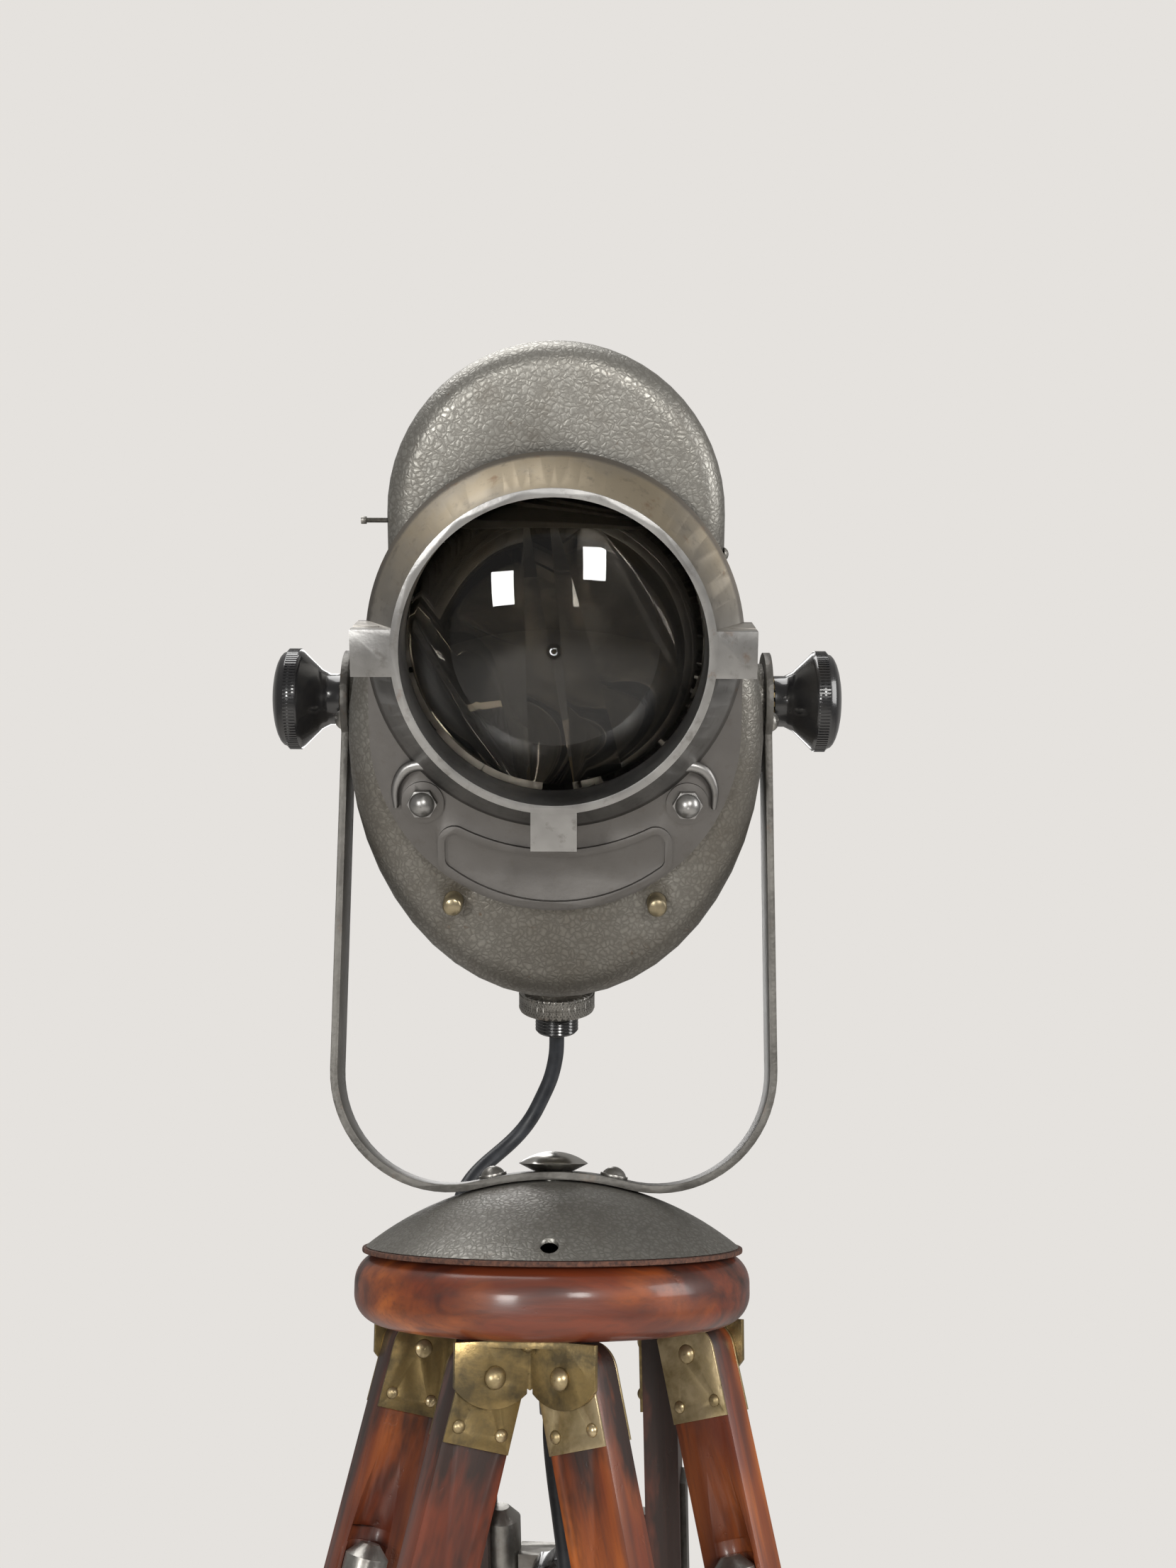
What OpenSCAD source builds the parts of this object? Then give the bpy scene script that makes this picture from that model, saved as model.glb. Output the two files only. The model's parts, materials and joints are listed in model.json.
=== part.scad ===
// Studio spotlight in a steel yoke on a three-legged wooden stand.
// Z is up and the lens looks along -Y, tipped down. The origin is on the floor, under the middle of the feet.

/* [Lamp housing] */
// Half width of the egg-shaped housing
egg_a = 90; // [74:1:108]
// Height of the housing above its widest line
egg_up = 105; // [94:1:126]
// Depth of the housing below its widest line
egg_low = 118; // [100:1:142]
// Height of the widest line relative to the tilt axis
egg_mid = -10; // [-14:1:-6]
// Front face of the housing, ahead of the tilt axis
face_s = 52; // [46:1:62]
// Length of the front shell from its face to the seam
front_depth = 20; // [18:1:24]
// Rounding of the front shell's edge
front_round = 16; // [12:1:17]
// Back of the housing, behind the tilt axis
back_s = 110; // [100:1:132]
// Rounding of the housing's back edge
back_round = 30; // [24:1:36]
// Sheet thickness of both shells
shell_t = 1.2; // [1:0.1:1.5]
// Angle at which the lens looks down
rest_tilt = 24; // [0:1:40]

/* [Lens and casting] */
// Height of the lens axis above the tilt axis
lens_u = 34; // [30:1:38]
// Lens diameter
lens_d = 127; // [105:1:132]
// Lens edge thickness
lens_edge = 8; // [6:0.5:10]
// How far the lens bulges
lens_bulge = 20; // [14:1:22]
// Flange thickness of the casting
flange_t = 4; // [3:0.5:5]
// Radius of the flared collar at the flange
collar_r = 79; // [77:1:84]
// Length of the collar from the flange to the rim
collar_len = 30; // [28:1:36]
// Height and width of a filter lug
lug_size = 19; // [15:1:22]
// Slot of a filter lug
lug_slot = 3.5; // [2.5:0.25:3.9]

/* [Hood] */
// Half width of the hood
hood_r = 71; // [69:1:84]
// Centre height of the hood's arch above the tilt axis
hood_u = 86; // [82:1:96]
// Length of the hood
hood_len = 141; // [120:1:150]
// Rounding of the hood's front and back edges
hood_round = 12; // [8:1:14]

/* [Yoke] */
// Gap between the housing's widest point and a yoke arm
arm_gap = 2.5; // [1.5:0.1:4]
// Thickness of the yoke strap
strap_t = 3.2; // [2.5:0.1:4.2]
// Width of the yoke strap
strap_w = 25; // [21:1:30]
// Tilt axis above the strap's seat on the domed cover
yoke_h = 211.5; // [205:0.5:254]
// Corner radius of the yoke, to the middle of the strap
yoke_corner = 50; // [42:1:56]
// Diameter of the trunnion studs
stud_d = 10; // [8:0.5:12]
// Diameter of the clamp knobs at their knurled band
knob_d = 44.8; // [38:0.2:52]

/* [Head of the stand] */
// Radius of the domed cover
dome_r = 79; // [74:1:82]
// Height of the domed cover
dome_h = 27.4; // [22:0.2:32]
// Radius of the wooden head
disc_r = 83.4; // [82:0.2:98]
// Thickness of the wooden head
disc_t = 28.5; // [24:0.5:34]
// Thickness of the leather ring
ring_t = 2; // [1.5:0.1:3]
// Diameter of the pivot bolt
bolt_d = 16; // [14:0.5:19]

/* [Legs] */
// Length of a leg from its pivot to the middle of its foot
leg_len = 1005; // [835:5:1210]
// Angle of a leg from the vertical
splay = 14.4; // [12:0.1:16]
// Distance of a leg's pivot from the stand's axis
pivot_r = 45.4; // [44:0.1:54]
// Length of a wooden stile below its pivot
stile_len = 900; // [700:5:905]
// Width of a stile at its top
stile_w = 27; // [25:0.5:29]
// Thickness of a stile
stile_t = 15; // [13:0.5:17]
// Outer width of a leg across its brass plates
leg_w = 103; // [100:1:108]
// Diameter of the lower rails
rail_d = 18; // [15:0.5:19]
// Travel of the lower rails
rail_travel = 450; // [300:10:480]
// Radius of a rubber foot
foot_r = 14; // [12:0.5:15]

/* [Hidden] */

$fn = 64;
eps = 0.01;
fit = 0.1;          // running clearance on a radius
gap = 0.3;          // gap between faces on different bodies

// Legs: names, directions and the stand's heights
LEGS = ["left", "right", "rear"];
leg_turn = 203.4;
rail_x = 2.5;
foot_sink = 0.8;    // height of a foot's middle, as a share of its radius
pivot_z = leg_len * cos(splay) + rail_x * sin(splay) + foot_sink * foot_r;
foot_reach = pivot_r + leg_len * sin(splay) + rail_x * cos(splay);
// From the middle of the three feet to the middle of the whole footprint
print_x = -2.985;
print_y = 10.015;
base_x = print_x - foot_reach * (cos(leg_turn) + cos(leg_turn + 120)) / 2;
base_y = print_y - foot_reach * (sin(leg_turn + 240) + sin(leg_turn + 120)) / 2;
stile_top = 12;
head_gap = 1.6;     // between the top of a stile and the wooden head
disc_z = pivot_z + stile_top + head_gap;
ring_z = disc_z + disc_t;
dome_z = ring_z + ring_t + gap;
seat_z = dome_z + dome_h;
tilt_z = seat_z + yoke_h;
dome_ball = (dome_r * dome_r + dome_h * dome_h) / (2 * dome_h);
dome_t = 1.5;

// Housing
seam_y = -face_s + front_depth;
casting_y = -face_s - flange_t;
rim_y = casting_y - collar_len;
rim_r = lens_d / 2 + 2.2;
lens_open = lens_d / 2 - 1.3;
slot_in = rim_r + (collar_r - rim_r) * (3 + lug_slot) / (collar_len - 6) + 1.4;   // clear of the collar
tube_r = lens_d / 2 + 2.5;
lens_back = -face_s + 2;
flange_mid = -3.5;  // centre height of the flange's lower arc
rod_x = 44;
rod_u = -79;
rod_r = 4.2;
rod_out = 10;
nut_x = 56.2;
nut_u = -34;
nut_shank = 3;
gland_y = -10;
gland_r = 10;
gland_seat = egg_low - egg_mid + 7;
focus_u = -66;
focus_r = 3;
carriage_y = 20;
hood_face = -face_s + 3;
hood_low = max(70, egg_mid + egg_up * sqrt(1 - pow((hood_r - 9.5) / egg_a, 2)));   // clear of the egg beside it
hinge_y = 96;
hinge_u = egg_mid + egg_up - (back_round - sqrt(pow(back_round, 2) - pow(max(0, hinge_y - back_s + back_round), 2))) + 8;
hinge_r = 3;

// Yoke and knobs
arm_in = egg_a + arm_gap;
arm_out = arm_in + strap_t;
arm_mid = arm_in + strap_t / 2;
eye_r = 22;
screw_y = -11.5;
screw_z = -12;
washer_t = 1.5;
knob_neck = 11.5;
knob_len = 30.5;
knob_x = arm_out + washer_t + gap;
hump_r = dome_ball + 0.2 + strap_t / 2;
hump_z = seat_z - dome_ball;
corner_x = arm_mid - yoke_corner;
corner_z = hump_z + sqrt(pow(hump_r + yoke_corner, 2) - corner_x * corner_x);
hump_a = asin(corner_x / (hump_r + yoke_corner));
yoke_screw_x = 25.6;
grommet_x = -44;
grommet_y = 44;

// Leg pieces, in the leg's own frame: pivot at the origin, X outwards, Z up along the leg
plate_t = 1.2;
plate_low = 26.5;
wood_out = leg_w / 2 - plate_t;
wood_in = wood_out - stile_t;
narrow = 5;
rail_y = wood_in - 3.3;
groove_r = rail_d / 2 + gap;
cap_top = 79;
cap_low = cap_top + 74;
cap_t = 1;
cross_z = -cap_top - 26;
band_t = 3;
shoe_z = -leg_len + 55;
ear_t = 2;
ear_in = leg_w / 2 + gap;
ear_out = ear_in + ear_t;
ear_flange = 50;
bracket_screw_r = ear_out / sin(60) + 6.2;
pin_r = 3;
rivet_r = 1.2;
rivet_x = 8.9;
rivet_z = -20.1;

// Cord routes
cord_r = 3.5;
plug_r = 9;
// Lead from the gland to the grommet, relative to the tilt axis
LEAD = [[0, 54.7, -147.6], [0, 59, -157], [-2, 64, -168], [-8, 68, -180], [-18, 69, -192], [-29, 65, -203],
        [-38, 57.5, -212], [-42.6, 49.5, -219.5], [-44, 45, -226], [-44, 44, -232]];
// Mains cord from under the head to the coil, relative to the stand's axis and the floor
MAINS = [[0, 0, 978], [0, 0, 966], [0, 0, 952], [2, 1, 936], [5, 2, 918], [8, 3, 898], [10, 4, 870], [11, 4, 820],
         [11, 4, 720], [10, 4, 600], [8, 4, 460], [6, 4, 320], [4, 4, 200], [1, 5, 120], [-6, 9, 62], [-20, 17, 24],
         [-42, 30, 6.5], [-64, 42.6, 3.5], [-80, 52, 3.5]];
coil_x = -78;
coil_y = 103;
coil_in = 25;
coil_out = 52;
coil_h = 21;
floor_turn = 16.3;   // turn of the cord and its coil round the stand, clear of the folding feet
tail_turn = 90;
// End of the cord from the coil's top to the plug, relative to the coil's middle
TAIL = [[-31, -5.5, 18.5], [-30.4, 8.2, 21.5], [-24.1, 20.2, 25.5], [-14.8, 27.8, 28.8], [-6, 31.3, 30]];
plug_y = 31.5;

// ---------- helpers ----------

module stand() translate([base_x, base_y, 0]) children();
module in_head() stand() translate([0, 0, tilt_z]) rotate([rest_tilt, 0, 0]) children();
module in_yoke() stand() translate([0, 0, tilt_z]) children();
module at_leg(k) stand() translate([0, 0, pivot_z]) rotate([0, 0, leg_turn + 120 * k])
    translate([pivot_r, 0, 0]) rotate([0, -splay, 0]) children();
module along_x(x0, x1, r) translate([x0, 0, 0]) rotate([0, 90, 0]) cylinder(r = r, h = x1 - x0);
module along_y(y0, y1, r) translate([0, y1, 0]) rotate([90, 0, 0]) cylinder(r = r, h = y1 - y0);
module slab(y0, y1) translate([0, y1, 0]) rotate([90, 0, 0]) linear_extrude(y1 - y0) children();
module both_x() { children(); mirror([1, 0, 0]) children(); }

// Low round head of a rivet or a screw, standing on z = 0
module dome_head(r, h) {
    ball = (r * r + h * h) / (2 * h);
    intersection() {
        translate([0, 0, h - ball]) sphere(ball);
        cylinder(r = r + 1, h = h);
    }
}

function egg(off, n = 48) = [for (i = [0 : n - 1]) let (t = 360 * i / n, b = sin(t) < 0 ? egg_low : egg_up)
    [(egg_a - off) * cos(t), egg_mid + (b - off) * sin(t)]];
function ring(outline, y) = [for (p = outline) [p[0], y, p[1]]];

// Solid through a list of rings that follow each other along +Y
module loft(rings) {
    n = len(rings[0]);
    last = len(rings) - 1;
    polyhedron([for (r = rings, p = r) p], concat(
        [[for (j = [n - 1 : -1 : 0]) j]],
        [for (i = [0 : last - 1], j = [0 : n - 1]) let (k = (j + 1) % n)
            [i * n + j, (i + 1) * n + k, (i + 1) * n + j]],
        [for (i = [0 : last - 1], j = [0 : n - 1]) let (k = (j + 1) % n)
            [i * n + j, i * n + k, (i + 1) * n + k]],
        [[for (j = [0 : n - 1]) last * n + j]]));
}

// Egg-shaped solid from its rounded front edge at y0 to y1, or from y0 to its rounded back edge at y1
module egg_front(y0, y1, off, r) loft(concat(
    [for (a = [0 : 15 : 90]) ring(egg(off + r * (1 - sin(a))), y0 + r * (1 - cos(a)))], [ring(egg(off), y1)]));
module egg_back(y0, y1, off, r) loft(concat([ring(egg(off), y0)],
    [for (a = [90 : -15 : 0]) ring(egg(off + r * (1 - sin(a))), y1 - r * (1 - cos(a)))]));

function arc(x, y, r, a0, a1, n) = [for (i = [0 : n]) let (a = a0 + (a1 - a0) * i / n) [x + r * cos(a), y + r * sin(a)]];

// ---------- lamp head ----------

module casting_outline() {
    translate([0, flange_mid]) circle(r = collar_r - 0.5, $fn = 96);
    translate([0, lens_u]) circle(r = collar_r, $fn = 96);
    translate([-collar_r + 0.5, flange_mid]) square([2 * collar_r - 1, lens_u - flange_mid]);
}

module badge_outline(inset) offset(delta = -inset) offset(r = 7) offset(delta = -7) difference() {
    translate([0, flange_mid]) circle(r = collar_r - 2, $fn = 96);
    translate([0, lens_u]) circle(r = 88.5, $fn = 128);
    translate([-50, flange_mid - 20]) square([100, 200]);
    both_x() translate([50, -100]) square([50, 120]);
}

module lug(angle) translate([0, 0, lens_u]) rotate([0, angle, 0]) difference() {
    slab(rim_y + 1, casting_y + eps) translate([rim_r - 2, -lug_size / 2])
        square([collar_r + 4.7 - rim_r, lug_size]);
    slab(rim_y + 9, rim_y + 9 + lug_slot) translate([slot_in, -lug_size]) square([30, 2 * lug_size]);
}

module front_casting() color("#9a9b9c") in_head() difference() {
    union() {
        slab(casting_y, -face_s) casting_outline();
        translate([0, 0, lens_u]) along_y(-face_s - eps, lens_back + lens_edge + 6, tube_r);
        translate([0, casting_y + eps, lens_u]) rotate([90, 0, 0])
            cylinder(r1 = collar_r, r2 = rim_r, h = collar_len - 6);
        translate([0, 0, lens_u]) along_y(rim_y, rim_y + 8, rim_r);
        for (a = [0, 90, 180]) lug(a);
        slab(casting_y - 2.5, casting_y + eps) difference() { badge_outline(0); badge_outline(3); }
        both_x() translate([nut_x, 0, nut_u]) along_y(casting_y - 1.5, casting_y + eps, 9);
    }
    translate([0, 0, lens_u]) along_y(rim_y - 1, lens_back + 20, lens_open);
    translate([0, 0, lens_u]) along_y(lens_back - lens_edge, lens_back + 20, lens_d / 2 + fit);
    both_x() translate([nut_x, 0, nut_u]) along_y(casting_y - 5, 0, nut_shank + fit);
}

module front_shell() color("#6f6d66") in_head() difference() {
    egg_front(-face_s, seam_y, 0, front_round);
    egg_front(-face_s + shell_t, seam_y + 1, shell_t, front_round - shell_t);
    translate([0, 0, lens_u]) along_y(-face_s - 1, 0, tube_r + fit);
    both_x() translate([rod_x, 0, rod_u]) along_y(-face_s - 1, 0, rod_r + fit);
    both_x() translate([nut_x, 0, nut_u]) along_y(-face_s - 1, 0, nut_shank + fit);
}

module rear_shell() color("#6f6d66") in_head() difference() {
    union() {
        difference() {
            egg_back(seam_y, back_s, 0, back_round);
            egg_back(seam_y - 1, back_s - shell_t, shell_t, back_round - shell_t);
        }
        slab(seam_y - 3, seam_y + 8) difference() { polygon(egg(shell_t + fit)); polygon(egg(2 * shell_t + fit)); }
        slab(seam_y + 3, seam_y + 8) difference() { polygon(egg(shell_t / 2)); polygon(egg(2 * shell_t)); }
        both_x() along_x(egg_a - 8, arm_in - gap, 17);
        translate([0, gland_y, -gland_seat]) cylinder(r = 15, h = 9);
        for (x = [-rod_x, rod_x]) intersection() {
            slab(84, 88) polygon(egg(shell_t / 2));
            translate([x - 10, 80, rod_u - 60]) cube([20, 12, 70]);
        }
        translate([-8, hinge_y - hinge_r, hinge_u - 14]) cube([16, 2 * hinge_r, 14]);
        translate([0, hinge_y, hinge_u]) along_x(-8, 8, hinge_r);
    }
    both_x() along_x(0, arm_out, stud_d / 2 + fit);
    translate([0, gland_y, -gland_seat - 1]) cylinder(r = gland_r + fit, h = 20);
    both_x() translate([rod_x, 0, rod_u]) along_y(80, 92, rod_r + fit);
    translate([0, 0, focus_u]) along_y(back_s - 8, back_s + 5, focus_r + fit);
    translate([0, hinge_y, hinge_u]) along_x(-9, 9, 1.2);
    translate([-34, -18, egg_mid + egg_up - 30]) cube([68, 84, 60]);
}

function hood_outline(off) = concat(arc(0, hood_u, hood_r - off, 0, 180, 30),
    [[-hood_r + off, hood_low - 40], [hood_r - off, hood_low - 40]]);
module hood_solid(off) loft(concat(
    [for (a = [0 : 18 : 90]) let (r = hood_round - off)
        ring(hood_outline(off + r * (1 - sin(a))), hood_face + off + r * (1 - cos(a)))],
    [for (a = [90 : -18 : 0]) let (r = hood_round - off)
        ring(hood_outline(off + r * (1 - sin(a))), hood_face + hood_len - off - r * (1 - cos(a)))]));

module hood() color("#75726b") in_head() union() {
    difference() {
        hood_solid(0);
        hood_solid(shell_t);
        slab(-200, 200) polygon(egg(-1.6));
        translate([-200, -200, hood_low - 200]) cube([400, 400, 200]);
        translate([-hood_r, hood_face + 9, hood_low + 13.5]) along_x(-5, 8, 1 + fit);
        translate([0, 0, lens_u]) along_y(-face_s - 1, lens_back + lens_edge + 8, tube_r + gap);
    }
    difference() {
        translate([0, hinge_y, hinge_u]) both_x() along_x(8 + gap, 22, hinge_r);
        translate([0, hinge_y, hinge_u]) along_x(-30, 30, 1.1 + fit);
    }
    both_x() translate([8 + gap, hood_face + hood_len - shell_t, hinge_u + hinge_r - 1.5]) cube([14 - gap,
        hinge_y - hood_face - hood_len + shell_t, 1.5]);
    translate([hood_r - 0.3, hood_face + 9, hood_low]) rotate([0, 90, 0]) dome_head(3, 2);
}

module hood_hinge_pin() color("#8c8a84") in_head() translate([0, hinge_y, hinge_u]) along_x(-23, 23, 1.1);

module hood_catch_pin() color("#8a847a") in_head() translate([-hood_r, hood_face + 9, hood_low + 13.5]) {
    along_x(-9, 6, 1);
    along_x(-10.6, -8.4, 1.6);
}

module lens() color("#5a5c58", 0.5) in_head() translate([0, 0, lens_u]) {
    ball = (pow(lens_d / 2, 2) + pow(lens_bulge, 2)) / (2 * lens_bulge);
    union() {
        along_y(lens_back - lens_edge, lens_back, lens_d / 2);
        translate([0, lens_back - lens_edge, 0]) rotate([90, 0, 0]) intersection() {
            translate([0, 0, lens_bulge - ball]) sphere(ball, $fn = 128);
            cylinder(r = lens_open - 0.5, h = 40);
        }
    }
}

module lens_ring() color("#b9b3a0") in_head() translate([0, lens_back + 3, lens_u]) difference() {
    along_y(-3, 0, lens_d / 2);
    along_y(-4, 1, lens_d / 2 - 6);
}

module guide_rods() color("#a98a4e") in_head() both_x() translate([rod_x, 0, rod_u]) {
    along_y(-face_s - rod_out + 1, 91, rod_r);
    translate([0, -face_s - rod_out + 1, 0]) rotate([90, 0, 0]) cylinder(r1 = rod_r, r2 = rod_r - 1, h = 1);
}

module casting_nuts() color("#a5a6a6") in_head() both_x() translate([nut_x, 0, nut_u]) {
    translate([0, casting_y - 1.5, 0]) rotate([90, 0, 0]) {
        cylinder(r = 6.4, h = 4, $fn = 6);
        translate([0, 0, 4]) dome_head(5.4, 4.4);
    }
    along_y(casting_y - 2, -face_s + shell_t + 5, nut_shank);
    along_y(-face_s + shell_t, -face_s + shell_t + 4, 5.5);
}

module gland_nut() color("#8f8a80") in_head() translate([0, gland_y, -gland_seat - 9]) difference() {
    union() {
        cylinder(r = 17.2, h = 9);
        for (i = [0 : 35]) rotate([0, 0, 10 * i]) translate([17, 0, 1]) cylinder(r = 0.6, h = 7, $fn = 8);
    }
    translate([0, 0, -1]) cylinder(r = gland_r + fit, h = 12);
}

module gland_bush() color("#26262a") in_head() translate([0, gland_y, 0]) difference() {
    union() {
        translate([0, 0, -gland_seat - 20]) cylinder(r = gland_r - 0.8, h = 36);
        for (i = [0 : 12]) translate([0, 0, -gland_seat - 19.6 + 1.5 * i]) rotate_extrude()
            polygon([[0, 0], [gland_r - 0.8, 0], [gland_r, 0.55], [gland_r, 0.85], [gland_r - 0.8, 1.4], [0, 1.4]]);
        translate([0, 0, -gland_seat + 10]) cylinder(r = 13, h = 5);
    }
    translate([0, 0, -gland_seat - 21]) cylinder(r = cord_r + 0.2, h = 60);
}

module trunnion_studs() color("#8d8b86") in_head() both_x() {
    along_x(egg_a - 16, knob_x + knob_len - 6, stud_d / 2);
    translate([egg_a - 14, 0, 0]) rotate([0, 90, 0]) cylinder(r = stud_d, h = 5.8, $fn = 6);
}

module lamp_carriage() color("#9c8f70") in_head() difference() {
    union() {
        slab(carriage_y - 30, carriage_y) translate([-rod_x - 8, rod_u + rod_r + 2]) square([2 * rod_x + 16, 2.5]);
        both_x() translate([rod_x, 0, rod_u]) along_y(carriage_y - 30, carriage_y, rod_r + 3);
        slab(carriage_y - 3, carriage_y) translate([-9, rod_u + rod_r + 4]) square([18, 60]);
        slab(carriage_y - 3, carriage_y) translate([0, focus_u]) circle(r = 9);
    }
    both_x() translate([rod_x, 0, rod_u]) along_y(-40, 60, rod_r + fit);
}

module reflector() color("#d5d5d2") in_head() translate([0, -5, lens_u]) difference() {
    union() {
        rotate([-90, 0, 0]) rotate_extrude() intersection() {
            difference() { circle(r = 46, $fn = 128); circle(r = 45, $fn = 128); }
            translate([0, 26]) square([60, 60]);
        }
        translate([-6, 40, -77]) cube([12, 2, 40]);
        translate([-6, 25.1, -77]) cube([12, 16.9, 2]);
    }
}

module lamp_holder() color("#d9d4c6") in_head() translate([0, -5, 0]) difference() {
    translate([0, 0, rod_u + rod_r + 4.6]) cylinder(r = 16, h = 40);
    translate([0, 0, rod_u + rod_r + 20]) cylinder(r = 12.6, h = 40);
}

module lamp_bulb() color("#e8e4d8", 0.6) in_head() translate([0, -5, 0]) union() {
    translate([0, 0, lens_u]) sphere(21);
    translate([0, 0, rod_u + rod_r + 20.2]) cylinder(r = 12.4, h = 46);
    translate([0, 0, rod_u + rod_r + 66]) cylinder(r1 = 12.4, r2 = 16, h = 30);
}

module focus_knob() color("#1d1c1d") in_head() translate([0, 0, focus_u]) {
    along_y(carriage_y + gap, back_s + 32, focus_r);
    along_y(back_s + 30, back_s + 44, 11);
    translate([0, back_s + 44, 0]) rotate([-90, 0, 0]) dome_head(11, 4);
}

// ---------- yoke ----------

// Clamp knob on the +X side: neck, flare, straight band and a low crown
module tilt_knob() difference() {
    translate([knob_x, 0, 0]) rotate([0, 90, 0]) rotate_extrude() polygon(concat(
        [[0, 0], [knob_neck, 0], [knob_neck, 5], [13.5, 9], [knob_d / 2 - 4, 14], [knob_d / 2, 18],
         [knob_d / 2, 23.5], [knob_d / 2 - 1, 24.5]],
        [for (i = [1 : 8]) [(knob_d / 2 - 1) * cos(i * 90 / 8), 24.5 + (knob_len - 24.5) * sin(i * 90 / 8)]]));
    along_x(0, knob_x + knob_len - 5, stud_d / 2 + fit);
}

module tilt_knob_left() color("#1b1a1a") in_head() mirror([1, 0, 0]) tilt_knob();
module tilt_knob_right() color("#1b1a1a") in_head() tilt_knob();

module fan_washer() color("#8f7440") in_yoke() both_x() difference() {
    union() {
        along_x(arm_out, arm_out + washer_t * 0.6, 10.5);
        for (i = [0 : 17]) rotate([20 * i, 0, 0]) translate([arm_out, 9, -1.1]) cube([washer_t, 2.8, 2.2]);
    }
    along_x(0, 2 * arm_out, stud_d / 2 + 0.4);
}

module yoke_strap() color("#77756e") stand() difference() {
    union() {
        translate([0, strap_w / 2, 0]) rotate([90, 0, 0]) linear_extrude(strap_w) polygon(strap_outline());
        both_x() translate([0, 0, tilt_z]) along_x(arm_in, arm_out, eye_r);
    }
    both_x() translate([0, 0, tilt_z]) along_x(0, 2 * arm_out, stud_d / 2 + fit / 2);
    both_x() translate([0, screw_y, tilt_z + screw_z]) along_x(0, 2 * arm_out, 2.1);
    at_yoke_screw() translate([0, 0, hump_r - 20]) cylinder(r = 2.6, h = 40);
    translate([0, 0, seat_z - 20]) cylinder(r = bolt_d / 2 + fit, h = 40);
}
module at_yoke_screw() both_x() translate([0, 0, hump_z]) rotate([0, asin(yoke_screw_x / hump_r), 0]) children();

function half_strap(d) = concat(
    arc(0, hump_z, hump_r + d, 90, 90 - hump_a, 12),
    arc(corner_x, corner_z, yoke_corner - d, 270 - hump_a, 360, 20),
    [[arm_mid - d, tilt_z]]);
function mirrored(list) = [for (i = [len(list) - 1 : -1 : 0]) [-list[i][0], list[i][1]]];
function backwards(list) = [for (i = [len(list) - 1 : -1 : 0]) list[i]];
function strap_side(d) = let (h = half_strap(d)) concat([for (p = mirrored(h)) if (p[0] < -eps) p], h);
function strap_outline() = concat(strap_side(strap_t / 2), backwards(strap_side(-strap_t / 2)));

module yoke_screws() color("#8b8880") stand() {
    at_yoke_screw() translate([0, 0, hump_r + strap_t / 2]) {
        difference() {
            union() {
                cylinder(r = 6, h = 1.2);
                translate([0, 0, 1.2]) dome_head(5.2, 3.4);
            }
            translate([-6, -0.6, 3.4]) cube([12, 1.2, 3]);
        }
        translate([0, 0, -12]) cylinder(r = 2.5, h = 12.5);
        translate([0, 0, -13.5]) cylinder(r = 4.6, h = 5, $fn = 6);
    }
    both_x() translate([arm_out, screw_y, tilt_z + screw_z]) {
        difference() {
            rotate([0, 90, 0]) dome_head(4.6, 3.2);
            translate([1.6, -6, -0.6]) cube([3, 12, 1.2]);
        }
        along_x(-strap_t, 0.5, 2);
    }
}

module dome_cover() color("#6d6b64") stand() difference() {
    translate([0, 0, seat_z - dome_ball]) rotate_extrude() intersection() {
        difference() { circle(r = dome_ball, $fn = 180); circle(r = dome_ball - dome_t, $fn = 180); }
        translate([0, dome_ball - dome_h]) square([dome_r, 60]);
    }
    translate([0, 0, seat_z - 30]) cylinder(r = bolt_d / 2 + fit, h = 60);
    at_yoke_screw() translate([0, 0, hump_r - 20]) cylinder(r = 2.6, h = 40);
    translate([0, -72, seat_z - 50]) cylinder(r = 3.7, h = 60);
    translate([grommet_x, grommet_y, seat_z - 50]) cylinder(r = 7, h = 60);
}

module cord_grommet() color("#201f1f") stand() translate([grommet_x, grommet_y, 0]) {
    z = hump_z + sqrt(dome_ball * dome_ball - grommet_x * grommet_x - grommet_y * grommet_y);
    difference() {
        translate([0, 0, z - 9]) cylinder(r = 6.8, h = 13);
        translate([0, 0, z - 10]) cylinder(r = cord_r + 0.2, h = 16);
    }
}

// ---------- head of the stand ----------

module pivot_bolt() color("#a9a59b") stand() difference() {
    union() {
        translate([0, 0, disc_z - 15]) cylinder(r = bolt_d / 2, h = seat_z + strap_t + 2 - disc_z + 15);
        translate([0, 0, seat_z + strap_t + 0.4]) cylinder(r1 = 9, r2 = 15, h = 3);
        translate([0, 0, seat_z + strap_t + 3.4]) dome_head(15, 5);
    }
    translate([0, 0, disc_z - 16]) cylinder(r = 5, h = 40);
}

module pivot_nut() color("#8a887f") stand() {
    difference() {
        union() {
            translate([0, 0, disc_z - 2]) cylinder(r = 17, h = 2);
            translate([0, 0, disc_z - 11]) cylinder(r = 13.5, h = 9, $fn = 6);
        }
        translate([0, 0, disc_z - 20]) cylinder(r = bolt_d / 2 + fit, h = 30);
    }
    difference() {
        translate([0, 0, disc_z - 38]) cylinder(r1 = 4.8, r2 = 6.5, h = 23);
        translate([0, 0, disc_z - 39]) cylinder(r = cord_r + 0.2, h = 30);
    }
}

module leather_ring() color("#46281c") stand() translate([0, 0, ring_z]) difference() {
    cylinder(r = dome_r + 1.6, h = ring_t, $fn = 128);
    translate([0, 0, -1]) cylinder(r = dome_r - 14, h = ring_t + 2, $fn = 128);
}

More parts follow.
